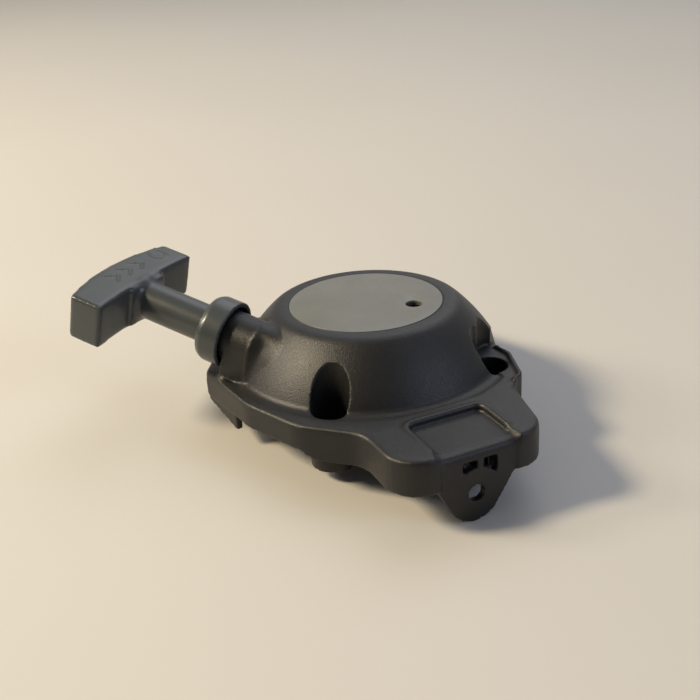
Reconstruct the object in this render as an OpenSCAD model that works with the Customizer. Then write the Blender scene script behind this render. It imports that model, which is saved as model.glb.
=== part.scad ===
// Recoil starter for a small engine, in millimetres.
// Origin: centre of the bolt pattern, on the feet of the screw bosses. +Z runs up the crank axis
// to the top of the dome, and +X runs out to the bracket that hangs at the front.

/* [Dome and flange] */
// Radius of the dome where it meets the flange
dome_r = 55; // [52:0.5:60]
// Height of the dome above the flange
dome_h = 22.3; // [20:0.1:28]
// Radius of the flat top of the dome
top_r = 37; // [34:0.5:40]
// Radius of the gentle outward curve of the dome's side
side_curve = 75; // [50:1:200]
// Height of the flange's top above the feet of the screw bosses
flange_z = 23; // [20:0.5:28]
// Width of the flange round the dome
flange_w = 6.5; // [4:0.5:10]
// Wall thickness of the moulding
wall = 2.6; // [2:0.1:3]
// Thickness of the dome's flat top
top_t = 3.2; // [2.8:0.1:4]
// Height of the skirt at the front, from the flange's top
skirt_front = 14; // [12:0.5:18]
// Height of the skirt round the rest, from the flange's top
skirt_back = 10.5; // [8:0.5:12]

// Distance from the crank axis to the flat on the dome's far side
side_flat = 50.5; // [49:0.1:56]

/* [Engine screws] */
// Distance between the screws along X
bolt_x = 77; // [74:0.5:92]
// Distance between the screws along Y
bolt_y = 69; // [66:0.5:82]
// Radius of each screw's clearance hole
screw_hole_r = 2.75; // [2.2:0.05:3.3]
// Radius of the driver well above each screw
well_r = 7.5; // [6:0.1:8]
// Thickness of the seat under each screw's head
seat_t = 6; // [4:0.5:8]

/* [Front bracket] */
// Distance from the crank axis to the bracket's outer face
bracket_x = 90; // [86:0.5:108]
// Shift of the bracket's middle along Y
bracket_y = -1.8; // [-3:0.1:3]
// Half the width of the bracket
bracket_hw = 15.5; // [14:0.1:18.5]
// Thickness of the bracket
bracket_t = 3; // [2.5:0.1:4]
// Radius of the bracket's hole
bracket_hole_r = 3.3; // [2.5:0.1:4]
// Height of the bracket's hole above the feet of the screw bosses
bracket_hole_z = 4; // [3:0.5:6]
// Shift of the bracket's hole from the bracket's middle
hole_shift = -0.9; // [-2:0.1:2]
// Radius of the bracket's round tip
bracket_tip_r = 10.6; // [10:0.5:13]
// Depth of the recess in the flange above the bracket
recess_d = 2; // [1:0.1:3]

/* [Badge] */
// Radius of the badge plate
badge_r = 31.4; // [28:0.1:33]
// Thickness of the badge plate
badge_t = 1.2; // [0.8:0.1:1.4]
// Radius of the sight hole over the spring
sight_r = 3.4; // [2.5:0.1:4]
// Distance from the crank axis to the sight hole
sight_d = 20.3; // [18:0.1:23]

/* [Rope and pull] */
// Diameter of the rope
rope_d = 3.4; // [3:0.1:3.6]
// Radius at which the rope leaves the pulley
rope_r = 33; // [30:0.5:34]
// Direction of the pull seen from above, in degrees from +X
pull_turn = 219; // [212:1:226]
// Rise of the pull above the flange, in degrees
pull_rise = 14.8; // [12:0.1:16]
// Radius of the rope boss
boss_r = 10.3; // [9:0.1:10.6]
// Length of the rope boss inside the handle's cup
boss_in = 7.5; // [6:0.1:9]

/* [Handle] */
// Length of the crossbar between its end faces
bar_l = 62.8; // [56:0.1:78]
// Depth of the crossbar at its ends, along the pull
bar_t = 14.5; // [12:0.1:18]
// Bulge of the crossbar's outer face
bar_bulge = 5; // [3:0.1:6]
// Hollow of the crossbar's inner face
bar_hollow = 1.5; // [1:0.1:2]
// Height of the crossbar above the pull's axis
bar_up = 8.9; // [7.9:0.1:12]
// Height of the crossbar below the pull's axis
bar_down = 10.3; // [8:0.1:13]
// Radius of the handle's stem
stem_r = 7.9; // [7:0.1:9]
// Distance from the cup's open rim to the crossbar's ends
reach = 42.4; // [36:0.1:50]
// Outer radius of the cup
cup_r = 13.8; // [13.6:0.1:16]
// Wall thickness of the cup
cup_wall = 1.8; // [1.2:0.1:1.9]
// Length of the cup
cup_l = 11; // [10.8:0.1:14]

/* [Pulley] */
// Radius of the pulley's flanges
pulley_r = 36; // [35.8:0.1:37]
// Clear height between the pulley's flanges
groove_h = 10.5; // [10.4:0.1:11]
// Thickness of each flange
pulley_flange = 1.4; // [1:0.1:1.6]
// Radius of the post that the pulley turns on
post_r = 7; // [6:0.1:7.4]
// Running clearance round the post
post_gap = 0.05; // [0.02:0.01:0.08]
// Wall thickness of the pulley's bush
bush_t = 1.55; // [1:0.05:1.6]

/* [Recoil spring] */
// Thickness of the spring strip
strip_t = 0.6; // [0.4:0.05:0.8]
// Turns of the spring
spring_turns = 8; // [5:1:9]
// Inside radius of the spring's case
case_in_r = 29.2; // [27:0.1:30]
// Thickness of the case's sheet
case_t = 0.8; // [0.6:0.1:1]

/* [Pawls] */
// Distance from the crank axis to each pawl's pin
pawl_d = 15; // [14.5:0.1:16]
// Length of a pawl from its pin to its tip
pawl_l = 13; // [11:0.1:14]
// Thickness of a pawl
pawl_t = 5.5; // [4:0.1:5.6]
// Radius of a pawl's pin
pin_r = 2; // [1.5:0.1:2.2]
// Swing of a pawl from stowed to engaged, in degrees
pawl_swing = 30; // [24:1:32]
// Turn of the friction plate behind the pulley, in degrees
plate_lag = 28; // [24:1:30]

/* [Hidden] */

$fn = 96;
cut = 0.5;
air = 0.3;
rub = 0.1;
arc_steps = 8;

// Heights, from the dome's top down through the works
top_z = flange_z + dome_h;
roof_z = top_z - top_t;
case_h = 7.5;
case_z = roof_z - case_h;
pulley_top = case_z - 1.2;
groove_top = pulley_top - pulley_flange;
groove_z = groove_top - groove_h;
pulley_z = groove_z - pulley_flange;
pawl_z = pulley_z - air - pawl_t;
plate_t = 1.4;
plate_z = pawl_z - 0.5 - plate_t;
post_z = plate_z - 0.2;
washer_t = 1.2;
washer_z = post_z - washer_t;

// Plan radii
flange_r = dome_r + flange_w;
screw_boss_r = well_r + 2;
coil_out_r = rope_r - rope_d - air;
coil_in_r = coil_out_r - rope_d * 0.97;
spool_r = coil_in_r - rope_d / 2 - 0.1;
pocket_out_r = spool_r - 2.4;
knot_turn = 30;
bush_r = post_r + post_gap + bush_t;
spring_hub_r = bush_r + 1.6;
case_r = case_in_r + case_t;
sight_turn = 47.7;

// The pull's axis leaves the pulley as a tangent, just above the middle of the groove
rope_z = groove_z + 4.5;
tangent = [rope_r * cos(pull_turn + 90), rope_r * sin(pull_turn + 90), rope_z];
rim_u = sqrt(dome_r * dome_r - rope_r * rope_r) / cos(pull_rise);
boss_end = rim_u + boss_in;
root_end = rim_u - 12.5;
root_step = 0.5;
cup_floor = boss_end + 0.8 + air;
cup_back = rim_u + cup_l;
bar_in = rim_u + reach;
bar_out = bar_in + bar_t;
bar_mid = bar_out + bar_bulge;
knot_r = rope_d * 1.15;
pocket_r = knot_r + 1.3;
pocket_l = 11;
pocket_u = bar_mid - pocket_l;
bushing_r = rope_d / 2 + 3.6;
bushing_l = 12;
bushing_lip = 0.8;
rope_hole_r = rope_d / 2 + 0.6;

// Flange outline: corners with their rounding radii, anticlockwise from the front
lobe_x = bracket_x + 1;
lobe_hw = bracket_hw + 16.3;
far_hw = bracket_hw + 11.5;
side_turn = 58;
side_slot = [[41, 37], [30, 42.5]];
lip_t = 1.6;
lip_h = 1.4;
fin_far = [-17, -flange_r - 4];
fin_near = [5, -flange_r];
bx = bolt_x / 2;
by = bolt_y / 2;
OUTLINE = [
    [lobe_x, -lobe_hw - 1, 14],
    [lobe_x, far_hw - 1.5, 12],
    [dome_r + 2, far_hw + 7, 8],
    [dome_r - 1.5, far_hw + 13.5, 4],
    [bx - 3.5, by + 12.7, 8],
    [27, side_flat - 4, 4],
    [-8, flange_r + 1, 30],
    [-bx - 5.5, by + 13, 13],
    [-flange_r, by - 4, 20],
    [-flange_r, -by + 4, 20],
    [-bx - 5.5, -by - 13, 13],
    [-30, -flange_r + 3, 8],
    [fin_far[0] - 1, fin_far[1] - 0.3, 3],
    [18, -flange_r + 0.5, 25],
    [bx + 5.5, -by - 16.5, 20],
    [flange_r + 0.5, -lobe_hw - 1, 12]
];

// Dome side: an arc through the base corner and the shoulder
shoulder = [top_r + 1.5, top_z - 1.1];
chord = [dome_r, flange_z] - shoulder;
half_chord = norm(chord) / 2;
sag_side = sqrt(side_curve * side_curve - half_chord * half_chord);
side_mid = (shoulder + [dome_r, flange_z]) / 2;
side_c = side_mid + [chord[1], -chord[0]] / norm(chord) * sag_side;

// A point at distance r and angle a
function polar(r, a) = [r * cos(a), r * sin(a)];

// The point of a list that follows or leads another, round the loop
function around(list, i) = list[(i + len(list)) % len(list)];

// Unit vector of an edge, and its normal out of an anticlockwise outline
function along(a, b) = [b[0] - a[0], b[1] - a[1]] / norm([b[0] - a[0], b[1] - a[1]]);
function outward(e) = [e[1], -e[0]];

// Signed turn at a corner: above zero at an outside corner
function turn(e, f) = atan2(e[0] * f[1] - e[1] * f[0], e[0] * f[0] + e[1] * f[1]);

// A corner moved in by t, with the two edges that meet there
function inset_corner(p, e, f, t) =
    [p[0], p[1]] - (outward(e) + outward(f)) * t / (1 + e[0] * f[0] + e[1] * f[1]);

// The arc that rounds a corner
function corner_arc(p, e, f, r) =
    let (a = turn(e, f),
         start = p - e * r * tan(abs(a) / 2),
         centre = start - outward(e) * r * sign(a),
         first = atan2(start[1] - centre[1], start[0] - centre[0]))
    [for (k = [0:arc_steps]) centre + polar(r, first + a * k / arc_steps)];

// The whole outline, moved in by t
function outline(t = 0) = [
    for (i = [0:len(OUTLINE) - 1])
        let (p = OUTLINE[i],
             e = along(around(OUTLINE, i - 1), p),
             f = along(p, around(OUTLINE, i + 1)),
             r = max(0.4, p[2] - t * sign(turn(e, f))))
        each corner_arc(inset_corner(p, e, f, t), e, f, r)
];

// Points down the dome's side, for the outer face or a face t inside it
function side_arc(t = 0) =
    let (from = atan2(shoulder[1] - side_c[1], shoulder[0] - side_c[0]),
         to = atan2(flange_z - side_c[1], dome_r - side_c[0]))
    [for (k = [0:arc_steps]) side_c + polar(side_curve - t, from + (to - from) * k / arc_steps)];

// Everything in the pull's own frame: the axis runs along +X from the tangent point
module on_pull() {
    translate(tangent)
        rotate([0, 0, pull_turn])
            rotate([0, -pull_rise, 0])
                children();
}

// A cylinder along the pull's axis
module pull_rod(r, from, to) {
    translate([from, 0, 0])
        rotate([0, 90, 0])
            cylinder(r = r, h = to - from);
}

// A turned piece along the pull's axis, from [distance, radius] points
module pull_turned(points) {
    rotate([0, 90, 0])
        rotate_extrude()
            polygon([for (p = points) [p[1], p[0]]]);
}

// Children at the four screws
module at_screws() {
    for (x = [-bx, bx])
        for (y = [-by, by])
            translate([x, y, 0])
                children();
}

// A ring of rectangular section
module ring(r_in, r_out, z, h) {
    translate([0, 0, z])
        difference() {
            cylinder(r = r_out, h = h);
            translate([0, 0, -cut])
                cylinder(r = r_in, h = h + 2 * cut);
        }
}

// Everything inside the far side's flat, moved in by t
module within_flat(t = 0) {
    deep = 4 * dome_r;
    rotate([0, 0, side_turn])
        translate([side_flat - t - deep, -deep / 2, -cut])
            cube([deep, deep, top_z + 2 * cut]);
}

module dome_outside() {
    intersection() {
        rotate_extrude()
            polygon(concat([[0, flange_z - wall], [0, top_z], [top_r - 1, top_z]],
                           side_arc(), [[dome_r, flange_z - wall]]));
        within_flat();
    }
}

module dome_inside() {
    inner = side_arc(wall);
    low = inner[arc_steps];
    intersection() {
        rotate_extrude()
            polygon(concat([[0, flange_z - wall - cut], [0, roof_z],
                            [shoulder[0] - wall, roof_z]],
                           [for (p = inner) if (p[1] < roof_z) p],
                           [[low[0], flange_z - wall - cut]]));
        within_flat(wall);
    }
}

// The flange and its skirt, open below, with the higher skirt behind the front corners
module flange_shell() {
    front_z = flange_z - skirt_front;
    step_x = bx + 5;
    difference() {
        translate([0, 0, front_z])
            linear_extrude(skirt_front)
                polygon(outline());
        translate([0, 0, front_z - cut])
            linear_extrude(skirt_front - wall + cut)
                polygon(outline(wall));
        translate([0, flange_r * 1.5, 0])
            rotate([90, 0, 0])
                linear_extrude(flange_r * 3)
                    polygon([[-flange_r * 1.5, front_z - cut], [step_x + 6, front_z - cut],
                             [step_x, flange_z - skirt_back],
                             [-flange_r * 1.5, flange_z - skirt_back]]);
    }
}

// Tubes that carry the engine screws
module screw_bosses() {
    at_screws() cylinder(r = screw_boss_r - 0.6, h = flange_z - 1);
    intersection() {
        dome_outside();
        union() {
            at_screws()
                translate([0, 0, flange_z - wall])
                    cylinder(r = screw_boss_r, h = dome_h + wall);
            slot_body(screw_boss_r, flange_z - wall);
        }
    }
}

// Upright slot that opens the far front screw's well to the side, with radius r from height z
module slot_body(r, z) {
    a = side_slot[0];
    b = side_slot[1];
    translate([0, 0, z])
        linear_extrude(top_z)
            union() {
                translate(a) circle(r = r);
                translate(b) circle(r = r);
                polygon([a + r * outward(along(a, b)), b + r * outward(along(a, b)),
                         b - r * outward(along(a, b)), a - r * outward(along(a, b))]);
            }
}

module screw_cuts() {
    at_screws() {
        translate([0, 0, -cut]) cylinder(r = screw_hole_r, h = flange_z);
        translate([0, 0, seat_t]) cylinder(r = well_r, h = top_z);
    }
    intersection() {
        slot_body(well_r, flange_z);
        within_flat(-cut);
    }
}

// Post for the pulley, and the ring that holds the spring's case
module works_carrier() {
    translate([0, 0, post_z]) cylinder(r = post_r, h = roof_z - post_z + cut);
    ring(case_r + rub, case_r + rub + 1.6, roof_z - 4, 4 + cut);
}

// Rope boss with straight cheeks down to the flange
module rope_boss() {
    root = rim_u * 0.35;
    intersection() {
        on_pull() {
            pull_rod(boss_r, root, boss_end);
            pull_rod(boss_r + root_step, root, root_end);
            translate([root, -boss_r, -flange_z])
                cube([rim_u - 1 - root, 2 * boss_r, flange_z]);
            translate([root, -boss_r - root_step, -flange_z])
                cube([root_end - root, 2 * (boss_r + root_step), flange_z]);
        }
        translate([0, 0, flange_z - wall])
            cylinder(r = dome_r * 2, h = top_z);
    }
}

// Clears the works' side of the rope boss, then bores it for the rope's bushing
module rope_boss_cuts() {
    dome_inside();
    on_pull() {
        pull_rod(rope_hole_r + 1.2, 5, boss_end + cut);
        pull_rod(bushing_r, boss_end - bushing_l, boss_end + cut);
    }
}

// Side fin that hangs below the skirt
module fin() {
    run = norm(fin_near - fin_far);
    tip = 18;
    root = 12.6;
    translate([fin_far[0], fin_far[1], 0])
        rotate([0, 0, atan2(fin_near[1] - fin_far[1], fin_near[0] - fin_far[0])])
            translate([0, wall, 0])
                rotate([90, 0, 0])
                    linear_extrude(wall)
                        polygon([[0, flange_z - wall], [run, flange_z - wall],
                                 [run, flange_z - tip], [run - 1.5, flange_z - tip],
                                 [0, flange_z - root]]);
}

// Raised lip along the edge of the ear round the far front screw
module ear_lip() {
    translate([0, 0, flange_z - 1])
        linear_extrude(1 + lip_h)
            intersection() {
                difference() {
                    polygon(outline());
                    polygon(outline(lip_t));
                }
                translate([26, by + 0.5]) square([dome_r, flange_r]);
            }
}

// Face of the bracket, drawn with X along the part's Y and Y along its Z
module bracket_face() {
    hole = [hole_shift, bracket_hole_z];
    tip = hole - [0.5, 0.8];
    top = flange_z - recess_d;
    difference() {
        union() {
            translate(tip) circle(r = bracket_tip_r);
            polygon([[-bracket_hw, top], [-bracket_hw, hole[1] + 3],
                     tip + polar(bracket_tip_r, 215), tip + polar(bracket_tip_r, -32),
                     [bracket_hw, hole[1] + 6], [bracket_hw, top]]);
        }
        translate(hole) circle(r = bracket_hole_r);
    }
}

// The two windows over the bracket's hole, drawn like its face
module windows() {
    window = [5.7, 6.7];
    difference() {
        for (s = [-1, 1])
            translate([0.7 + s * 4 - window[0] / 2, flange_z - 12.5]) square(window);
        translate([hole_shift, bracket_hole_z]) circle(r = bracket_hole_r + 6.7);
    }
}

module bracket() {
    translate([bracket_x - bracket_t, bracket_y, 0])
        rotate([90, 0, 90])
            linear_extrude(bracket_t)
                bracket_face();
    translate([dome_r + 8, bracket_y - bracket_hw - 2.6, flange_z - recess_d - wall])
        cube([lobe_x - dome_r - 10, 2 * bracket_hw + 5.2, wall + 0.2]);
}

module recess() {
    translate([dome_r + 10.5, bracket_y - bracket_hw - 0.3, flange_z - recess_d])
        cube([lobe_x, 2 * bracket_hw + 0.6, recess_d + cut]);
    translate([bracket_x, bracket_y - bracket_hw, -flange_z])
        cube([lobe_x, 2 * bracket_hw, 3 * flange_z]);
}

// Cuts the windows through the bracket and the skirt's wall behind it
module window_cuts() {
    from = lobe_x - wall - 2;
    translate([from, bracket_y, 0])
        rotate([90, 0, 90])
            linear_extrude(bracket_x + cut - from)
                windows();
}

module sight_hole(r, z, h) {
    translate([sight_d * cos(sight_turn), sight_d * sin(sight_turn), z])
        cylinder(r = r, h = h);
}

module housing() {
    color([0.13, 0.13, 0.14])
        difference() {
            union() {
                difference() {
                    union() {
                        dome_outside();
                        flange_shell();
                        rope_boss();
                    }
                    rope_boss_cuts();
                }
                screw_bosses();
                works_carrier();
                fin();
                ear_lip();
                bracket();
            }
            screw_cuts();
            recess();
            window_cuts();
            translate([0, 0, top_z - badge_t]) cylinder(r = badge_r + rub, h = top_t);
            sight_hole(sight_r, roof_z - cut, top_t + 2 * cut);
            translate([0, 0, post_z - cut]) cylinder(r = 2.55, h = 16);
        }
}

module badge_plate() {
    color([0.25, 0.26, 0.27])
        difference() {
            translate([0, 0, top_z - badge_t]) cylinder(r = badge_r, h = badge_t);
            sight_hole(sight_r, top_z - badge_t - cut, badge_t + 2 * cut);
        }
}

// Flanged eyelet that the rope runs through
module rope_bushing() {
    back = boss_end - bushing_l;
    color([0.75, 0.75, 0.72])
        on_pull()
            pull_turned([[back, rope_hole_r + 1], [back, bushing_r - rub],
                         [boss_end, bushing_r - rub], [boss_end, bushing_r + 1.8],
                         [boss_end + bushing_lip, bushing_r + 1.8],
                         [boss_end + bushing_lip, rope_hole_r + 1],
                         [boss_end - 1, rope_hole_r], [back + 1.5, rope_hole_r]]);
}

// Pressed steel cup, open towards the pulley
module spring_case() {
    color([0.55, 0.56, 0.58])
        difference() {
            union() {
                ring(post_r + 0.6, case_r, roof_z - case_t, case_t);
                ring(case_in_r, case_r, case_z, case_h);
            }
            sight_hole(sight_r + 0.4, case_z, case_h + cut);
        }
}

// Flat spiral strip wound inside the case
module recoil_spring() {
    steps = spring_turns * 20;
    r0 = spring_hub_r + air;
    r1 = case_in_r - air - strip_t;
    spiral = [for (k = [0:steps]) polar(r0 + (r1 - r0) * k / steps, k * 18)];
    back = [for (k = [steps:-1:0]) polar(r0 + strip_t + (r1 - r0) * k / steps, k * 18)];
    color([0.45, 0.47, 0.5])
        translate([0, 0, case_z + 0.4])
            linear_extrude(case_h - case_t - 0.8)
                polygon(concat(spiral, back));
}

// Rope pulley with a spring hub above and pawl seats below
module pulley() {
    color([0.82, 0.8, 0.74])
        difference() {
            union() {
                rotate_extrude()
                    polygon([[bush_r, pulley_z], [pulley_r, pulley_z], [pulley_r, groove_z],
                             [spool_r, groove_z], [spool_r, groove_top],
                             [pulley_r, groove_top], [pulley_r, pulley_top],
                             [bush_r, pulley_top]]);
                difference() {
                    ring(bush_r, spring_hub_r, pulley_top - cut, case_h + 0.2);
                    translate([spring_hub_r - 1, -1, pulley_top + 1])
                        cube([3, 2, case_h]);
                }
            }
            for (a = [-55, 5, 125, 185])
                rotate([0, 0, a])
                    translate([0, 0, pulley_z - cut])
                        rotate_extrude(angle = 50)
                            translate([bush_r + 2.5, 0])
                                square([pocket_out_r - bush_r - 2.5, groove_h]);
            for (s = [0, 180])
                rotate([0, 0, s])
                    translate([0, pawl_d, pulley_z - cut]) {
                        cylinder(r = pin_r, h = 8);
                        cylinder(r = pin_r + 1.6, h = 2.3 + cut);
                        rotate([0, 0, pawl_rest])
                            translate([0, pin_r + 0.1, 0])
                                cube([pawl_l - 6, 1.6, 1.4 + cut]);
                    }
            rotate([0, 0, knot_turn])
                translate([pocket_out_r - 2, 0, rope_z])
                    rotate([0, 90, 0])
                        cylinder(r = rope_hole_r, h = spool_r - pocket_out_r + 4);
        }
}

module pulley_bush() {
    color([0.72, 0.55, 0.3])
        ring(post_r + post_gap, bush_r, pulley_z + 0.2, pulley_top - pulley_z - 0.2);
}

// Rope wound on the pulley, three turns wide and two layers deep
module rope_coil() {
    pitch = (groove_h - rope_d - 0.3) / 2;
    color([0.16, 0.16, 0.17])
        for (r = [coil_in_r, coil_out_r])
            for (k = [0:2])
                rotate_extrude()
                    translate([r, groove_z + rope_d / 2 + 0.15 + k * pitch])
                        circle(d = rope_d, $fn = 24);
}

// Straight run of rope from the pulley to its knot in the handle
module rope_lead() {
    color([0.16, 0.16, 0.17])
        on_pull() pull_rod(rope_d / 2, 0, pocket_u + 3);
}

// Knot that anchors the rope in one of the pulley's pockets, with the end that runs out to the coil
module pulley_knot() {
    knot = rope_hole_r + 0.5;
    color([0.16, 0.16, 0.17])
        rotate([0, 0, knot_turn]) {
            translate([pocket_out_r - knot - 0.1, 0, rope_z]) sphere(r = knot, $fn = 32);
            translate([pocket_out_r - knot, 0, rope_z])
                rotate([0, 90, 0])
                    cylinder(d = rope_d, h = spool_r - pocket_out_r + knot - rub);
        }
}

module handle_knot() {
    color([0.16, 0.16, 0.17])
        on_pull()
            difference() {
                translate([pocket_u + 1.1 + knot_r, 0, 0]) sphere(r = knot_r, $fn = 48);
                pull_rod(rope_d / 2, pocket_u - 1, pocket_u + 3);
            }
}

module knot_washer() {
    color([0.6, 0.61, 0.63])
        on_pull()
            difference() {
                pull_rod(pocket_r - 0.2, pocket_u, pocket_u + 1);
                pull_rod(rope_d / 2 + 0.2, pocket_u - cut, pocket_u + 1 + cut);
            }
}

// Plan of the crossbar: bowed outside, slightly hollow inside
module bar_plan() {
    hl = bar_l / 2;
    out_r = (hl * hl + bar_bulge * bar_bulge) / (2 * bar_bulge);
    in_r = (hl * hl + bar_hollow * bar_hollow) / (2 * bar_hollow);
    out_a = asin(hl / out_r);
    in_a = asin(hl / in_r);
    polygon(concat(
        [for (k = [0:16]) [bar_mid - out_r, 0] + polar(out_r, -out_a + k * out_a / 8)],
        [for (k = [0:8]) [bar_in + bar_hollow - in_r, 0] + polar(in_r, in_a - k * in_a / 4)]));
}

module pull_handle() {
    hub = 3;
    color([0.2, 0.2, 0.21])
        on_pull()
            difference() {
                union() {
                    translate([0, 0, -bar_down])
                        linear_extrude(bar_up + bar_down)
                            bar_plan();
                    translate([bar_in + bar_hollow - hub, -stem_r - 2.5, 1 - bar_down])
                        cube([hub + 2, 2 * stem_r + 5, bar_up + bar_down - 2]);
                    pull_turned([[rim_u, 0], [rim_u, cup_r], [cup_back - 3, cup_r],
                                 [cup_back - 0.9, cup_r - 0.9], [cup_back, cup_r - 3],
                                 [cup_back, stem_r], [bar_in + 3, stem_r], [bar_in + 3, 0]]);
                }
                pull_rod(cup_r - cup_wall, rim_u - cut, cup_floor);
                pull_rod(rope_hole_r, rim_u, pocket_u + cut);
                pull_rod(pocket_r, pocket_u, bar_mid + cut);
            }
}

// Plug that closes the knot's pocket, flush with the bowed face
module handle_plug() {
    color([0.2, 0.2, 0.21])
        on_pull()
            intersection() {
                pull_rod(pocket_r - rub, bar_mid - 1.8, bar_mid + cut);
                translate([0, 0, -bar_down])
                    linear_extrude(bar_up + bar_down)
                        bar_plan();
            }
}

// Where a pawl's peg stands for a share of its swing, seen from the pulley
pawl_rest = -4.4;
peg_l = 7;
peg_r = 1.3;
function peg_at(share) = [0, pawl_d] + polar(peg_l, pawl_rest + pawl_swing * share);

// The same point seen from the friction plate
function peg_on_plate(share) =
    let (p = peg_at(share), a = -plate_lag * share)
    [p[0] * cos(a) - p[1] * sin(a), p[0] * sin(a) + p[1] * cos(a)];

module pawl() {
    tip_w = 2.2;
    root_w = pin_r + 1.6;
    color([0.5, 0.5, 0.52])
        difference() {
            union() {
                translate([0, pawl_d, pawl_z])
                    rotate([0, 0, pawl_rest])
                        linear_extrude(pawl_t)
                            polygon(concat([for (a = [85:10:275]) polar(root_w, a)],
                                           [[pawl_l, -tip_w], [pawl_l + 2, tip_w - 0.6],
                                            [pawl_l - 1, tip_w]]));
                translate([peg_at(0)[0], peg_at(0)[1], plate_z])
                    cylinder(r = peg_r, h = pawl_z + 1 - plate_z);
            }
            translate([0, pawl_d, pawl_z - cut])
                cylinder(r = pin_r + 0.06, h = pawl_t + 2 * cut);
        }
}

module pawl_a() {
    pawl();
}

module pawl_b() {
    rotate([0, 0, 180]) pawl();
}

module pawl_pin() {
    color([0.7, 0.7, 0.72])
        translate([0, pawl_d, pawl_z]) cylinder(r = pin_r, h = pawl_t + air + 8 - cut);
}

module pawl_pin_a() {
    pawl_pin();
}

module pawl_pin_b() {
    rotate([0, 0, 180]) pawl_pin();
}

// Torsion spring round a pawl's pin, in its recess in the pulley
module pawl_spring() {
    wire_r = 0.45;
    coil_r = pin_r + 0.9;
    color([0.72, 0.73, 0.75])
        translate([0, pawl_d, pulley_z]) {
            for (k = [0:1])
                translate([0, 0, 0.65 + k * 0.8])
                    rotate_extrude()
                        translate([coil_r, 0])
                            circle(r = wire_r, $fn = 16);
            rotate([0, 0, pawl_rest])
                translate([0, coil_r, 0.65])
                    rotate([0, 90, 0])
                        cylinder(r = wire_r - 0.05, h = pawl_l - 7, $fn = 16);
        }
}

module pawl_spring_a() {
    pawl_spring();
}

module pawl_spring_b() {
    rotate([0, 0, 180]) pawl_spring();
}

// Disc whose two cam slots throw the pawls out as it lags behind the pulley
module friction_plate() {
    slot_steps = 10;
    plate_r = norm(peg_at(1)) + peg_r + 2.6;
    color([0.6, 0.61, 0.63])
        difference() {
            ring(post_r + 0.06, plate_r, plate_z, plate_t);
            for (s = [0, 180])
                rotate([0, 0, s])
                    for (k = [0:slot_steps])
                        translate([peg_on_plate(k / slot_steps)[0],
                                   peg_on_plate(k / slot_steps)[1], plate_z - cut])
                            cylinder(r = peg_r + 0.35, h = plate_t + 2 * cut, $fn = 32);
        }
}

// Coil spring that presses the friction plate down on the centre washer
module friction_spring() {
    turns = 3;
    sides = 8;
    per_turn = 20;
    wire_r = 0.45;
    coil_r = post_r + 1.6;
    low = plate_z + plate_t + wire_r + 0.05;
    high = pulley_z - wire_r - 0.05;
    rings = turns * per_turn;
    points = [
        for (k = [0:rings])
            for (j = [0:sides - 1])
                let (r = coil_r + wire_r * cos(j * 360 / sides),
                     z = low + (high - low) * k / rings + wire_r * sin(j * 360 / sides))
                [r * cos(k * 360 / per_turn), r * sin(k * 360 / per_turn), z]
    ];
    skin = [
        for (k = [0:rings - 1])
            for (j = [0:sides - 1])
                let (n = (j + 1) % sides)
                [k * sides + j, (k + 1) * sides + j, (k + 1) * sides + n, k * sides + n]
    ];
    first = [for (j = [0:sides - 1]) j];
    last = [for (j = [sides - 1:-1:0]) rings * sides + j];
    color([0.72, 0.73, 0.75])
        polyhedron(points, concat(skin, [first, last]));
}

module centre_washer() {
    color([0.62, 0.63, 0.65])
        ring(2.7, post_r + 4, washer_z, washer_t);
}

module centre_screw() {
    head_h = 3.4;
    color([0.5, 0.5, 0.52])
        difference() {
            union() {
                translate([0, 0, washer_z - head_h]) cylinder(r = 4.6, h = head_h);
                translate([0, 0, washer_z - rub]) cylinder(r = 2.5, h = 14 + washer_t);
            }
            translate([0, 0, washer_z - head_h - cut])
                cylinder(r = 2.3, h = 2.4 + cut, $fn = 6);
        }
}

housing();
badge_plate();
rope_bushing();
spring_case();
recoil_spring();
pulley();
pulley_bush();
rope_coil();
rope_lead();
pulley_knot();
handle_knot();
knot_washer();
pull_handle();
handle_plug();
pawl_a();
pawl_b();
pawl_pin_a();
pawl_pin_b();
pawl_spring_a();
pawl_spring_b();
friction_plate();
friction_spring();
centre_washer();
centre_screw();
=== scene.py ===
import math
import bmesh
import bpy
import numpy as np
from mathutils import Matrix, Vector


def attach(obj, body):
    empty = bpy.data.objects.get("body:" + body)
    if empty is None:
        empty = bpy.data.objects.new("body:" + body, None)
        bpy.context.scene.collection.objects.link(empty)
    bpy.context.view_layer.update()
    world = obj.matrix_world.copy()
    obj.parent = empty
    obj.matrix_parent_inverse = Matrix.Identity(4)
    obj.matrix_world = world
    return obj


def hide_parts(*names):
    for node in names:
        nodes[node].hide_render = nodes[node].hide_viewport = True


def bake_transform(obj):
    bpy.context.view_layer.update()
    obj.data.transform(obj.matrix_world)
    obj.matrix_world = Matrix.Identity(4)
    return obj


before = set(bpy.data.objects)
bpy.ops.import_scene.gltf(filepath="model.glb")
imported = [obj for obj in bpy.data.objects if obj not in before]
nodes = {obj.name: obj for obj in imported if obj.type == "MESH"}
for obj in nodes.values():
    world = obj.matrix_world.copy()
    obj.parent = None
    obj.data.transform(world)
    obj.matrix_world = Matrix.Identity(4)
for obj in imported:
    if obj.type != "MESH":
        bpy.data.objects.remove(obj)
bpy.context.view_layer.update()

MM = 0.001
# The part's own frame, with its lengths in millimetres
PART = Matrix.Scale(MM, 4)
scene = bpy.context.scene


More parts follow.
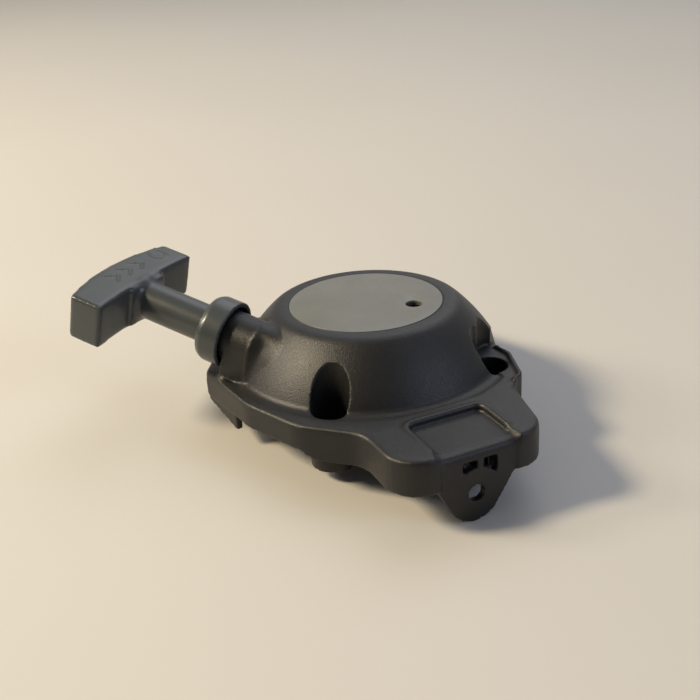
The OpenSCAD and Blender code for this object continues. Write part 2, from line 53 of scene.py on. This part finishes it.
# ---------------------------------------------------------------- camera
VIEW_TURN = math.radians(66.5)
VIEW_DROP = math.radians(24.8)
VIEW_ROLL = math.radians(3.75)
UP = Vector((0, 0, 1))
side = Vector((math.cos(VIEW_TURN), math.sin(VIEW_TURN), 0))
away = Vector((-math.sin(VIEW_TURN), math.cos(VIEW_TURN), 0))
ahead = away * math.cos(VIEW_DROP) - UP * math.sin(VIEW_DROP)
upward = away * math.sin(VIEW_DROP) + UP * math.cos(VIEW_DROP)
VIEW_DISTANCE = 0.418
VIEW_CENTRE = Vector((0, 0, 0.023)) - side * 0.0077 + upward * 0.0005
eye = VIEW_CENTRE - ahead * VIEW_DISTANCE
lens = bpy.data.cameras.new("camera")
lens.lens = 51.43
lens.sensor_width = 36
lens.clip_start = 0.01
camera = bpy.data.objects.new("camera", lens)
scene.collection.objects.link(camera)
cam_right = side * math.cos(VIEW_ROLL) - upward * math.sin(VIEW_ROLL)
cam_up = side * math.sin(VIEW_ROLL) + upward * math.cos(VIEW_ROLL)
facing = Matrix((cam_right, cam_up, -ahead)).transposed()
camera.matrix_world = Matrix.Translation(eye) @ facing.to_4x4()
scene.camera = camera
scene.view_settings.view_transform = "Standard"


# ---------------------------------------------------------------- materials
def linear(code):
    """The linear colour of an sRGB hex value such as "#1b1c1d"."""
    parts = [int(code[i:i + 2], 16) / 255 for i in (1, 3, 5)]
    return [c / 12.92 if c <= 0.04045 else ((c + 0.055) / 1.055) ** 2.4 for c in parts] + [1.0]


def add(tree, kind, settings=(), links=()):
    """Adds a shader node, sets its properties and inputs, and links its inputs from (node, output)."""
    made = tree.nodes.new(kind)
    for key, value in dict(settings).items():
        if isinstance(key, str) and hasattr(made, key):
            setattr(made, key, value)
        else:
            made.inputs[key].default_value = value
    for key, (source, output) in dict(links).items():
        tree.links.new(source.outputs[output], made.inputs[key])
    return made


def new_material(name, finish):
    """A material with its Principled shader, whose sockets take the constants in finish."""
    made = bpy.data.materials.new(name)
    made.use_nodes = True
    tree = made.node_tree
    shader = tree.nodes["Principled BSDF"]
    for key, value in finish.items():
        shader.inputs[key].default_value = linear(value) if isinstance(value, str) else value
    return made, tree, shader


def blotch(tree, shader, place, colours, size):
    """A base colour that drifts between two colours over patches of the given size in millimetres."""
    noise = add(tree, "ShaderNodeTexNoise", {"Scale": 1 / (size * MM), "Detail": 3.0},
                {"Vector": (place, "Object")})
    ramp = add(tree, "ShaderNodeValToRGB", {}, {"Fac": (noise, "Fac")})
    ramp.color_ramp.elements[0].position = 0.35
    ramp.color_ramp.elements[1].position = 0.68
    ramp.color_ramp.elements[0].color = linear(colours[0])
    ramp.color_ramp.elements[1].color = linear(colours[1])
    tree.links.new(ramp.outputs["Color"], shader.inputs["Base Color"])


def spread(tree, shader, pattern, low, high):
    """Roughness that follows a pattern between two values."""
    span = add(tree, "ShaderNodeMapRange", {"From Min": 0.3, "From Max": 0.7,
                                            "To Min": low, "To Max": high},
               {"Value": (pattern, "Fac")})
    tree.links.new(span.outputs["Result"], shader.inputs["Roughness"])


WAVE, WAVE_HEIGHT = 9, 0.08


def moulded_plastic(name, colours, rough, vary, grain_mm, grain_height, sheen):
    """Plastic from a mould: two close colours, the tool's grain and slow waves from shrinkage."""
    made, tree, shader = new_material(name, {"IOR": 1.46, "Sheen Weight": sheen,
                                             "Sheen Roughness": 0.5})
    place = add(tree, "ShaderNodeTexCoord")
    blotch(tree, shader, place, colours, 14)
    grain = add(tree, "ShaderNodeTexNoise", {"Scale": 1 / (grain_mm * MM), "Detail": 2.0,
                                             "Roughness": 0.6}, {"Vector": (place, "Object")})
    spread(tree, shader, grain, rough - vary, rough + vary)
    waves = add(tree, "ShaderNodeTexNoise", {"Scale": 1 / (WAVE * MM), "Detail": 1.0},
                {"Vector": (place, "Object")})
    sunk = add(tree, "ShaderNodeBump", {"Strength": 0.25, "Distance": WAVE_HEIGHT * MM},
               {"Height": (waves, "Fac")})
    bump = add(tree, "ShaderNodeBump", {"Strength": 1.0, "Distance": grain_height * MM},
               {"Height": (grain, "Fac"), "Normal": (sunk, "Normal")})
    tree.links.new(bump.outputs["Normal"], shader.inputs["Normal"])
    return made


def bare_metal(name, colours, rough, grain_mm, metallic=1.0):
    """Metal whose tint is mottled every 3 mm, with a fine grain in its gloss and its surface."""
    made, tree, shader = new_material(name, {"Metallic": metallic})
    place = add(tree, "ShaderNodeTexCoord")
    blotch(tree, shader, place, colours, 3)
    grain = add(tree, "ShaderNodeTexNoise", {"Scale": 1 / (grain_mm * MM), "Detail": 4.0},
                {"Vector": (place, "Object")})
    spread(tree, shader, grain, rough - 0.08, rough + 0.1)
    bump = add(tree, "ShaderNodeBump", {"Strength": 0.4, "Distance": 0.03 * MM},
               {"Height": (grain, "Fac")})
    tree.links.new(bump.outputs["Normal"], shader.inputs["Normal"])
    return made


PULL_TURN = math.radians(219)
PULL_RISE = math.radians(14.8)
PULL_U = Vector((math.cos(PULL_TURN) * math.cos(PULL_RISE),
                 math.sin(PULL_TURN) * math.cos(PULL_RISE), math.sin(PULL_RISE)))
PULL_N = Vector((-math.sin(PULL_TURN), math.cos(PULL_TURN), 0))
PULL_W = PULL_U.cross(PULL_N)
PULL_START = Vector((33 * math.cos(PULL_TURN + math.pi / 2),
                     33 * math.sin(PULL_TURN + math.pi / 2), 26))
# The pull's own frame in millimetres: X along the rope, Y across the crossbar, Z up
PULL = (Matrix.Scale(MM, 4) @ Matrix.Translation(PULL_START)
        @ Matrix((PULL_U, PULL_N, PULL_W)).transposed().to_4x4())


# A wave texture has 3.18 bands to a unit, so a unit of 10 mm puts the strands 3.14 mm apart,
# about twice their real pitch, so that they show
WEAVE_UNIT, STRAND_ANGLE, STRAND_HEIGHT = 10, 38, 0.25


def braided_cord(name):
    """Cord braided from strands that cross on two slants, with painted shade in the gaps between them.
    """
    made, tree, shader = new_material(name, {"IOR": 1.5, "Sheen Weight": 0.5,
                                             "Sheen Roughness": 0.4, "Roughness": 0.75})
    place = add(tree, "ShaderNodeTexCoord")
    turned = add(tree, "ShaderNodeMapping", {"vector_type": "TEXTURE"},
                 {"Vector": (place, "Object")})
    turned.inputs["Rotation"].default_value = PULL.to_3x3().normalized().to_euler()
    weaves = []
    for slant in (math.radians(STRAND_ANGLE), -math.radians(STRAND_ANGLE)):
        skew = add(tree, "ShaderNodeMapping", {"Rotation": (0, 0, slant)},
                   {"Vector": (turned, "Vector")})
        weaves.append(add(tree, "ShaderNodeTexWave",
                          {"Scale": 1 / (WEAVE_UNIT * MM), "Distortion": 0.4, "Detail": 1.0},
                          {"Vector": (skew, "Vector")}))
    both = add(tree, "ShaderNodeMath", {"operation": "MULTIPLY"},
               {0: (weaves[0], "Fac"), 1: (weaves[1], "Fac")})
    # colour runs from painted shade in the gaps between the strands to the strands' own soft black
    ramp = add(tree, "ShaderNodeValToRGB", {}, {"Fac": (both, "Value")})
    ramp.color_ramp.elements[0].color = linear("#0c0c0d")
    ramp.color_ramp.elements[1].color = linear("#2e2f31")
    tree.links.new(ramp.outputs["Color"], shader.inputs["Base Color"])
    bump = add(tree, "ShaderNodeBump", {"Strength": 0.8, "Distance": STRAND_HEIGHT * MM},
               {"Height": (both, "Value")})
    tree.links.new(bump.outputs["Normal"], shader.inputs["Normal"])
    return made


# Glass-filled nylon from a spark-eroded tool: near black, and its grain breaks up each highlight.
# The grain is drawn at 0.42 mm, about twice its real size, so that it shows.
black_nylon = moulded_plastic("grained black nylon", ("#0e0e0d", "#131312"), 0.43, 0.08, 0.42,
                              0.14, 0.03)
# The handle's nylon comes from a smoother tool: charcoal, with long satin highlights
bar_nylon = moulded_plastic("satin handle nylon", ("#34393a", "#3a3f40"), 0.31, 0.03, 0.8,
                            0.005, 0.05)
# ABS from a polished tool: an even grey sheet that softly mirrors the bright side of the room
badge_abs = moulded_plastic("smooth grey ABS plate", ("#5a5c57", "#61635c"), 0.36, 0.03, 1.6,
                            0.004, 0.1)
# Turned acetal: waxy white, so the eyelet stands out from the black boss
acetal = moulded_plastic("white acetal", ("#cfccc2", "#dad7cd"), 0.30, 0.05, 0.8, 0.01, 0.0)
# Nylon without pigment: cream and slightly cloudy
natural_nylon = moulded_plastic("natural nylon", ("#c9bf9f", "#d5ccb0"), 0.42, 0.06, 0.6,
                                0.02, 0.05)
# Zinc plate over rolled steel: pale grey with broad, slightly mottled highlights
zinc = bare_metal("zinc-plated steel", ("#a9acb0", "#c2c4c6"), 0.34, 0.3)
# Tempered spring strip: blue-grey and shiny, with fine rolling marks
blued = bare_metal("blued spring strip", ("#5b6270", "#7d828c"), 0.30, 0.2)
# Pressed and sintered powder: dull brown-gold with a sandy surface
bronze = bare_metal("sintered bronze", ("#8a6a3c", "#a3824e"), 0.52, 0.25)
# Steel hardened in a furnace: dark grey, half matt
hardened = bare_metal("case-hardened steel", ("#5a5a5c", "#77777a"), 0.42, 0.3)
# Drawn spring wire: bright, with narrow highlights
wire = bare_metal("bright spring wire", ("#b4b6b9", "#c8cacc"), 0.22, 0.15)
# Blackened steel: almost black, with a soft metal gloss
oxide = bare_metal("black oxide screw", ("#232324", "#303031"), 0.45, 0.2, 0.8)
# Braided polyester: soft black with a raised crisscross of strands
cord = braided_cord("braided black cord")

FINISHES = {
    "badge_plate": badge_abs, "rope_bushing": acetal, "spring_case": zinc,
    "recoil_spring": blued, "pulley": natural_nylon, "pulley_bush": bronze, "rope_coil": cord,
    "pulley_knot": cord, "handle_knot": cord, "knot_washer": zinc, "pawl_a": hardened,
    "pawl_b": hardened, "pawl_pin_a": zinc, "pawl_pin_b": zinc, "pawl_spring_a": wire,
    "pawl_spring_b": wire, "friction_plate": zinc, "friction_spring": wire,
    "centre_washer": zinc, "centre_screw": oxide, "handle_plug": bar_nylon,
    "housing": black_nylon, "pull_handle": bar_nylon, "rope_lead": cord,
}
for name, finish in FINISHES.items():
    nodes[name].data.materials.clear()
    nodes[name].data.materials.append(finish)


# ---------------------------------------------------------------- mesh helpers
def merged_copy(node):
    """A bmesh of a CAD node with its loose triangles joined."""
    bm = bmesh.new()
    bm.from_mesh(nodes[node].data)
    bmesh.ops.remove_doubles(bm, verts=bm.verts, dist=0.005 * MM)
    return bm


def block(bm, low, high):
    """Adds a box between two corners in millimetres."""
    low, high = Vector(low), Vector(high)
    size = high - low
    made = bmesh.ops.create_cube(bm, size=1)["verts"]
    bmesh.ops.scale(bm, verts=made, vec=size)
    bmesh.ops.translate(bm, verts=made, vec=(low + high) / 2)
    bmesh.ops.transform(bm, verts=made, matrix=PART)


def rod(bm, start, end, radius, frame_of=PART, sides=32, end_radius=None):
    """Adds a capped cylinder or cone between two points in millimetres."""
    start, end = Vector(start), Vector(end)
    turn = (end - start).to_track_quat("Z", "Y").to_matrix().to_4x4()
    place = frame_of @ Matrix.Translation((start + end) / 2) @ turn
    bmesh.ops.create_cone(bm, cap_ends=True, segments=sides, radius1=radius,
                          radius2=radius if end_radius is None else end_radius,
                          depth=(end - start).length, matrix=place)


def ball(bm, at, radius, frame_of=PART):
    """Adds a sphere round a point in millimetres."""
    bmesh.ops.create_uvsphere(bm, u_segments=24, v_segments=12, radius=radius,
                              matrix=frame_of @ Matrix.Translation(Vector(at)))


def bar_of(bm, points, radius, frame_of=PART):
    """Adds a round bar along a run of points, with a ball at each."""
    for a, b in zip(points, points[1:]):
        rod(bm, a, b, radius, frame_of)
    for p in points:
        ball(bm, p, radius, frame_of)


def as_object(name, bm, finish):
    """Turns a bmesh into an object of one material, at the origin."""
    mesh = bpy.data.meshes.new(name)
    bm.to_mesh(mesh)
    bm.free()
    obj = bpy.data.objects.new(name, mesh)
    scene.collection.objects.link(obj)
    mesh.materials.append(finish)
    return obj


def apply_modifiers(obj):
    """Makes the shape under the object's modifiers its own mesh."""
    shape = bpy.data.meshes.new_from_object(obj.evaluated_get(
        bpy.context.evaluated_depsgraph_get()))
    old = obj.data
    obj.modifiers.clear()
    obj.data = shape
    bpy.data.meshes.remove(old)


def moulded(name, bm, voxel_mm, finish):
    """One skin over overlapping closed shapes."""
    obj = as_object(name, bm, finish)
    skin = obj.modifiers.new("skin", "REMESH")
    skin.mode = "VOXEL"
    skin.voxel_size = voxel_mm * MM
    skin.use_smooth_shade = True
    bpy.context.view_layer.update()
    apply_modifiers(obj)
    return obj


def coordinates(obj):
    """The mesh's points in millimetres."""
    flat = np.empty(len(obj.data.vertices) * 3)
    obj.data.vertices.foreach_get("co", flat)
    return flat.reshape(-1, 3) / MM


def put_back(obj, points):
    """Moves the mesh's points to the given places in millimetres."""
    obj.data.vertices.foreach_set("co", (points * MM).ravel())
    obj.data.update()


def soften(obj, name, weight, rounds):
    """Smooths the points that carry weight, which rounds the edges there."""
    group = obj.vertex_groups.new(name=name)
    for level in (0.25, 0.5, 0.75, 1.0):
        chosen = np.nonzero((weight > level - 0.25) & (weight <= level + 1e-6))[0]
        if len(chosen):
            group.add(chosen.tolist(), level, "REPLACE")
    ease = obj.modifiers.new(name, "SMOOTH")
    ease.factor = 0.5
    ease.iterations = rounds
    ease.vertex_group = name


def thinned(obj, most):
    """Thins the skin to at most the given number of triangles."""
    count = sum(len(p.vertices) - 2 for p in obj.data.polygons)
    if count > most:
        cut = obj.modifiers.new("thin", "DECIMATE")
        cut.ratio = most / count


def along_pull(points):
    """Each point's distances along the rope, across the bar and up, and its distance off the rope."""
    at = points - np.array(PULL_START)
    u, n, w = (at @ np.array(axis) for axis in (PULL_U, PULL_N, PULL_W))
    return u, n, w, np.hypot(n, w)


def finished(obj, most, body, node):
    """Thins and applies the skin, and lets it stand for a CAD node on its body."""
    thinned(obj, most)
    apply_modifiers(obj)
    obj.data.shade_smooth()
    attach(obj, body)
    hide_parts(node)


def ramp_down(value, full, none):
    """1 up to full, falling to 0 at none."""
    return np.clip((none - value) / (none - full), 0, 1)


# ---------------------------------------------------------------- housing
DOME_R, TOP_R, TOP_Z, FLANGE_Z, SIDE_R = 55.0, 37.0, 45.3, 23.0, 75.0
BRACKET_X, BRACKET_Y, BRACKET_HW = 90.0, -1.8, 15.5
BOLT_X, BOLT_Y = 38.5, 34.5
LOBE_X = BRACKET_X + 1
# Corners of the flange's edge going round from the bracket's near side, each with its radius
OUTLINE = [
    (LOBE_X, -32.8, 14), (LOBE_X, 25.5, 12), (57, 34, 8), (53.5, 40.5, 4), (35, 47.2, 8),
    (27, 46.5, 4), (-8, 62.5, 30), (-44, 47.5, 13), (-61.5, 30.5, 20), (-61.5, -30.5, 20),
    (-44, -47.5, 13), (-30, -58.5, 8), (-18, -65.8, 3), (18, -61, 25), (44, -51, 20),
    (62, -32.8, 12),
]


def outline_points(steps=10):
    """The flange's edge as points in millimetres, its corners rounded."""
    points = []
    count = len(OUTLINE)
    for i, (x, y, r) in enumerate(OUTLINE):
        p = Vector((x, y))
        e = (p - Vector(OUTLINE[i - 1][:2])).normalized()
        f = (Vector(OUTLINE[(i + 1) % count][:2]) - p).normalized()
        turn = math.atan2(e.x * f.y - e.y * f.x, e.dot(f))
        start = p - e * r * math.tan(abs(turn) / 2)
        centre = start - Vector((e.y, -e.x)) * r * math.copysign(1, turn)
        first = math.atan2(start.y - centre.y, start.x - centre.x)
        points += [(centre.x + r * math.cos(first + turn * k / steps),
                    centre.y + r * math.sin(first + turn * k / steps))
                   for k in range(steps + 1)]
    return np.array(points)


def edge_depth(points):
    """How far inside the flange's edge each point lies in plan, in millimetres."""
    ring = outline_points()
    nearest = np.full(len(points), 1e9)
    inside = np.zeros(len(points), bool)
    for a, b in zip(ring, np.roll(ring, -1, axis=0)):
        run = b - a
        length = max(float(run @ run), 1e-9)
        t = np.clip(((points - a) @ run) / length, 0, 1)
        gap = np.hypot(*(points - a - t[:, None] * run).T)
        nearest = np.minimum(nearest, gap)
        crosses = (a[1] > points[:, 1]) != (b[1] > points[:, 1])
        if abs(run[1]) > 1e-9:
            at = a[0] + (points[:, 1] - a[1]) / run[1] * run[0]
            inside ^= crosses & (points[:, 0] < at)
    return np.where(inside, nearest, -nearest)


def dome_profile():
    """The centre of the arc down the dome's side, in the plane of radius and height."""
    shoulder = np.array([TOP_R + 1.5, TOP_Z - 1.1])
    chord = np.array([DOME_R, FLANGE_Z]) - shoulder
    half = np.hypot(*chord) / 2
    sag = math.sqrt(SIDE_R ** 2 - half ** 2)
    return (shoulder + np.array([DOME_R, FLANGE_Z])) / 2 + np.array(
        [chord[1], -chord[0]]) / np.hypot(*chord) * sag


# The pad above the bracket: where its raised bead runs, and how thick and high it is
BEAD_BACK, BEAD_NEAR, BEAD_FAR = 64.2, BRACKET_Y - BRACKET_HW - 0.6, BRACKET_Y + BRACKET_HW + 1.5
BEAD_R, BEAD_Z = 1.5, 22.6
# The wall and ribs behind the bracket's windows, and the ribs' places and thickness
WALL_LOW, WALL_HIGH = (82.6, -10.5, 8.4), (84.2, 8.5, 20.4)
RIB_X, RIB_Z, RIB_T = (83.5, 87.2), (9.5, 19.5), 0.9
RIB_YS = (-6.3, -4.1, 1.8, 4.0)
HOUSING_VOXEL, HOUSING_MOST = 0.6, 190000
# The rope's boss leaves the dome this far along the pull
ROOT_END = 32.6
# The flange is dished this wide and deep round the dome's foot
CHANNEL_W, CHANNEL_D = 6.0, 0.9


def pad_bead(bm):
    """Raised bead round the pad's near, back and far sides, which dives into the flange at its end."""
    bar_of(bm, [(BRACKET_X - 5, BEAD_NEAR, BEAD_Z - 0.9),
                (BEAD_BACK + 3.2, BEAD_NEAR, BEAD_Z - 0.5),
                (BEAD_BACK + 0.9, BEAD_NEAR + 0.9, BEAD_Z - 0.3),
                (BEAD_BACK, BEAD_NEAR + 3.2, BEAD_Z),
                (BEAD_BACK, BEAD_FAR - 3.2, BEAD_Z),
                (BEAD_BACK + 1.0, BEAD_FAR - 1.0, BEAD_Z),
                (BEAD_BACK + 3.4, BEAD_FAR, BEAD_Z),
                (BRACKET_X - 8, BEAD_FAR, BEAD_Z - 0.1),
                (BRACKET_X - 3.5, BEAD_FAR, BEAD_Z - 2.2)], BEAD_R)


def window_ribs(bm):
    """Wall and upright ribs behind the bracket's two windows."""
    block(bm, WALL_LOW, WALL_HIGH)
    for y in RIB_YS:
        block(bm, (RIB_X[0], y - RIB_T / 2, RIB_Z[0]), (RIB_X[1], y + RIB_T / 2, RIB_Z[1]))


def true_dome(p):
    """Puts the dome's side back on its curve, and lets it run up over the root of the boss."""
    r, z = np.hypot(p[:, 0], p[:, 1]), p[:, 2]
    u, n, w, rope_off = along_pull(p)
    centre = dome_profile()
    exact = centre[0] + np.sqrt(np.maximum(SIDE_R ** 2 - (z - centre[1]) ** 2, 0))
    well = np.hypot(p[:, 0] - BOLT_X, p[:, 1] + BOLT_Y) < 13
    root = ((u > -4) & (u < ROOT_END) & (n > -4) & (rope_off > 8.2) & (rope_off < 24)
            & (r > exact + 0.05) & (z > FLANGE_Z + 0.6) & ~well)
    dome_side = (np.abs(r - exact) < 0.45) & (z > FLANGE_Z + 0.4) & (z < TOP_Z - 1.7)
    p[dome_side, :2] *= (exact[dome_side] / r[dome_side])[:, None]
    wanted = 1 + 0.5 * (exact / r - 1) * ramp_down(z, 38, 44)
    p[root, :2] *= wanted[root][:, None]
    return root * ramp_down(rope_off, 15, 22)


def build_housing():
    """The moulded housing: the CAD shape with its bead and ribs, its edges rounded by region."""
    bm = merged_copy("housing")
    pad_bead(bm)
    window_ribs(bm)
    obj = moulded("housing_moulding", bm, HOUSING_VOXEL, black_nylon)

    p = coordinates(obj)
    x, z = p[:, 0], p[:, 2]
    r = np.hypot(x, p[:, 1])
    across = np.abs(p[:, 1] - BRACKET_Y)
    depth = edge_depth(p[:, :2])

    everywhere = np.where((x > 86) & (z < 18.4), 0.25, 1)
    bracket = (x > 84) & (across < BRACKET_HW + 0.8)
    pad = (x > 84) & (across < BRACKET_HW - 0.3)
    ear = (x > 24) & (x < 58) & (p[:, 1] > 34)
    skirt = ((z > 19.4) & (z < 24.5) & (depth < 3.4) & ((z > 20.7) | (depth < 1.4))
             & ~pad & ~ear)
    shoulder = (z > 42.6) & (r > 33.2) & (r < 43)
    bend = bracket & (z > 17.9) & (x > 85.4)
    bead = ((z > 21.2) & (z < 25) & (x > 61) & (x < 89) & (across < BRACKET_HW + 4)
            & ((x < 66.5) | (across > BRACKET_HW - 2)))
    channel = ((np.abs(z - FLANGE_Z) < 0.7) & (r > DOME_R) & (depth > 1.2) & (x < 58)
               & ~bracket & ~ear)
    dish = CHANNEL_D * np.sin(math.pi * np.clip((r - DOME_R) / CHANNEL_W, 0, 1)) ** 0.8

    root = true_dome(p)
    p[:, 2] -= np.where(channel, dish, 0)
    put_back(obj, p)

    # each region of the skin, how strongly it is smoothed and for how many rounds
    for name, weight, rounds in (("all", everywhere, 2), ("skirt", skirt, 60),
                                 ("shoulder", shoulder, 26), ("bend", bend, 130),
                                 ("bead", bead, 5), ("root", root, 80)):
        soften(obj, name, weight * 1.0, rounds)
    finished(obj, HOUSING_MOST, "housing-body", "housing")


build_housing()


# ---------------------------------------------------------------- pull handle
BAR_IN, BAR_OUT, BAR_HALF, BAR_TOP = 87.9, 102.4, 31.4, 8.9
STEM_R = 7.9
HANDLE_VOXEL, HANDLE_MOST = 0.45, 180000
# Raised marks on the bar: the ring's centre and radius, and the chevrons' places and size
RING_U, RING_N, RING_R = 98.6, -21.5, 3.6
CHEVRON_U, CHEVRON_NS = 99.0, (7.5, -0.5, -8.5)
CHEVRON_LENGTH, CHEVRON_RISE = 3.4, 2.2
PARTING_W, PARTING_HEIGHT = -0.6, 0.14


def bar_marks(bm):
    """Generic raised marks on top of the bar: a ring and three chevrons."""
    top = BAR_TOP + 0.05
    ring = [(RING_U + RING_R * math.cos(a), RING_N + RING_R * math.sin(a), top)
            for a in np.linspace(0, 2 * math.pi, 25)]
    bar_of(bm, ring, 0.42, PULL)
    for n in CHEVRON_NS:
        ends = n + CHEVRON_RISE
        bar_of(bm, [(CHEVRON_U - CHEVRON_LENGTH, ends, top), (CHEVRON_U, n - CHEVRON_RISE, top),
                    (CHEVRON_U + CHEVRON_LENGTH, ends, top)], 0.45, PULL)


def build_handle():
    """The moulded handle: the CAD shape with a flared stem, marks and soft edges on its bar."""
    bm = merged_copy("pull_handle")
    rod(bm, (BAR_IN - 2.4, 0, 0), (BAR_IN + 2, 0, 0), STEM_R - 0.2, PULL, 64, STEM_R + 2.2)
    bar_marks(bm)
    obj = moulded("pull_handle_moulding", bm, HANDLE_VOXEL, bar_nylon)

    p = coordinates(obj)
    u, n, w, off = along_pull(p)
    marks = (w > BAR_TOP - 0.25) & (u > 94) & (u < 103.6) & (n > -26) & (n < 10.5)
    bar = (u > BAR_IN - 3.2) & (off > STEM_R + 0.2) & ~marks
    # parting line of the tool, a slight ridge across the bar's two ends
    ends = np.abs(n) > BAR_HALF - 0.6
    ridge = bar & ends & (np.abs(w - PARTING_W) < 0.35)
    p += np.where(ridge, PARTING_HEIGHT * np.sign(n), 0)[:, None] * np.array(PULL_N)
    # the bar's inner face is plain on the near side; the block there stays on the far side only
    plain = ((u > 82) & (u < BAR_IN - 0.2) & (n > -4)
             & (off > STEM_R + 0.5 + 0.5 * np.maximum(u - BAR_IN + 2.4, 0)))
    p += np.where(plain, BAR_IN - u, 0)[:, None] * np.array(PULL_U)
    put_back(obj, p)
    soften(obj, "all", np.ones(len(p)), 2)
    soften(obj, "bar", bar * 1.0, 75)
    finished(obj, HANDLE_MOST, "handle-body", "pull_handle")


build_handle()


# ---------------------------------------------------------------- badge plate
RIM_BEVEL = 0.22


def build_badge():
    """The round plate in the dome's top, with its edges rounded."""
    bm = merged_copy("badge_plate")
    bmesh.ops.dissolve_limit(bm, angle_limit=math.radians(1), verts=bm.verts, edges=bm.edges)
    rims = [e for e in bm.edges if len(e.link_faces) == 2
            and e.calc_face_angle(0) > math.radians(50)]
    bmesh.ops.bevel(bm, geom=rims, offset=RIM_BEVEL * MM, segments=3, profile=0.5,
                    affect="EDGES", material=-1)
    obj = as_object("badge_plate_disc", bm, badge_abs)
    obj.data.shade_smooth()
    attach(obj, "housing-body")
    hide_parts("badge_plate")


build_badge()


# ---------------------------------------------------------------- rope between boss and handle
LEAD_R, LEAD_LENGTH, LEAD_STEPS = 1.7, 99.4, 60


def build_lead():
    """The rope's straight run, built at one fixed length, though on the real starter it gets longer as
    the handle is pulled.
    """
    bm = bmesh.new()
    bmesh.ops.create_circle(bm, segments=20, radius=LEAD_R)
    bmesh.ops.transform(bm, verts=bm.verts, matrix=PULL @ Matrix.Rotation(math.pi / 2, 4, "Y"))
    edges = list(bm.edges)
    bmesh.ops.holes_fill(bm, edges=edges, sides=0)
    for _ in range(LEAD_STEPS):
        grown = bmesh.ops.extrude_edge_only(bm, edges=edges)["geom"]
        moved = [g for g in grown if isinstance(g, bmesh.types.BMVert)]
        edges = [g for g in grown if isinstance(g, bmesh.types.BMEdge)]
        edges = [e for e in edges if all(v in moved for v in e.verts)]
        bmesh.ops.translate(bm, verts=moved, vec=PULL_U * (LEAD_LENGTH / LEAD_STEPS * MM))
    bmesh.ops.holes_fill(bm, edges=edges, sides=0)
    bmesh.ops.recalc_face_normals(bm, faces=bm.faces)
    obj = as_object("rope_lead_braid", bm, cord)
    obj.data.shade_smooth()
    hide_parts("rope_lead")
    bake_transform(obj)


build_lead()


# ---------------------------------------------------------------- floor and light
# The part stands on its rear screw bosses and the tip of its bracket, which is this much lower
# than the bosses and this far from them, so the floor leans
TIP_DROP, TIP_REACH = 0.0075, 0.1285
LEAN = math.atan2(TIP_DROP, TIP_REACH)
# Painted board: an even cream, matt with a faint tooth from the roller
bm = bmesh.new()
bmesh.ops.create_grid(bm, x_segments=1, y_segments=1, size=4)
bmesh.ops.rotate(bm, verts=bm.verts, matrix=Matrix.Rotation(LEAN, 3, "Y"))
bmesh.ops.translate(bm, verts=bm.verts, vec=(BRACKET_X * MM, 0, -TIP_DROP - 0.0001))
board, tree, shader = new_material("cream painted board", {"IOR": 1.45})
place = add(tree, "ShaderNodeTexCoord")
blotch(tree, shader, place, ("#bcb9b2", "#bfbcb5"), 400)
worn = add(tree, "ShaderNodeTexNoise", {"Scale": 1 / (2.5 * MM), "Detail": 3.0},
           {"Vector": (place, "Object")})
spread(tree, shader, worn, 0.75, 0.9)
tooth = add(tree, "ShaderNodeBump", {"Strength": 0.15, "Distance": 0.05 * MM},
            {"Height": (worn, "Fac")})
tree.links.new(tooth.outputs["Normal"], shader.inputs["Normal"])
floor = as_object("floor", bm, board)


LIT_POINT = Vector((0, 0, 0.02))


def lamp(name, place, size, power, colour):
    """A round soft light, placed to the camera's right, away from it and up from the origin."""
    data = bpy.data.lights.new(name, "AREA")
    data.shape = "DISK"
    data.size = size
    data.energy = power
    data.color = linear(colour)[:3]
    obj = bpy.data.objects.new(name, data)
    scene.collection.objects.link(obj)
    at = side * place[0] + away * place[1] + UP * place[2]
    obj.location = at
    obj.rotation_mode = "QUATERNION"
    obj.rotation_quaternion = (LIT_POINT - at).to_track_quat("-Z", "Y")


lamp("window", (-1.2, -0.15, 1.02), 0.30, 29, "#ffecc8")
lamp("second window", (-1.4, 0.1, 0.80), 0.30, 8, "#fff4e6")
lamp("ceiling", (0.35, 0.9, 1.3), 1.3, 7, "#eef2ff")
lamp("room", (0.95, -0.6, 0.6), 0.6, 4, "#d5e0ff")
room = bpy.data.worlds.new("room")
scene.world = room
room.use_nodes = True
sky = room.node_tree.nodes["Background"]
sky.inputs["Color"].default_value = linear("#e6e6e8")
# The room is dark on the camera's side and bright across the table from it
heading = add(room.node_tree, "ShaderNodeTexCoord")
toward = add(room.node_tree, "ShaderNodeVectorMath", {"operation": "DOT_PRODUCT", 1: away},
             {0: (heading, "Generated")})
level = add(room.node_tree, "ShaderNodeMapRange", {"From Min": -0.6, "From Max": 0.6,
                                                   "To Min": 0.14, "To Max": 0.55},
            {"Value": (toward, "Value")})
room.node_tree.links.new(level.outputs["Result"], sky.inputs["Strength"])
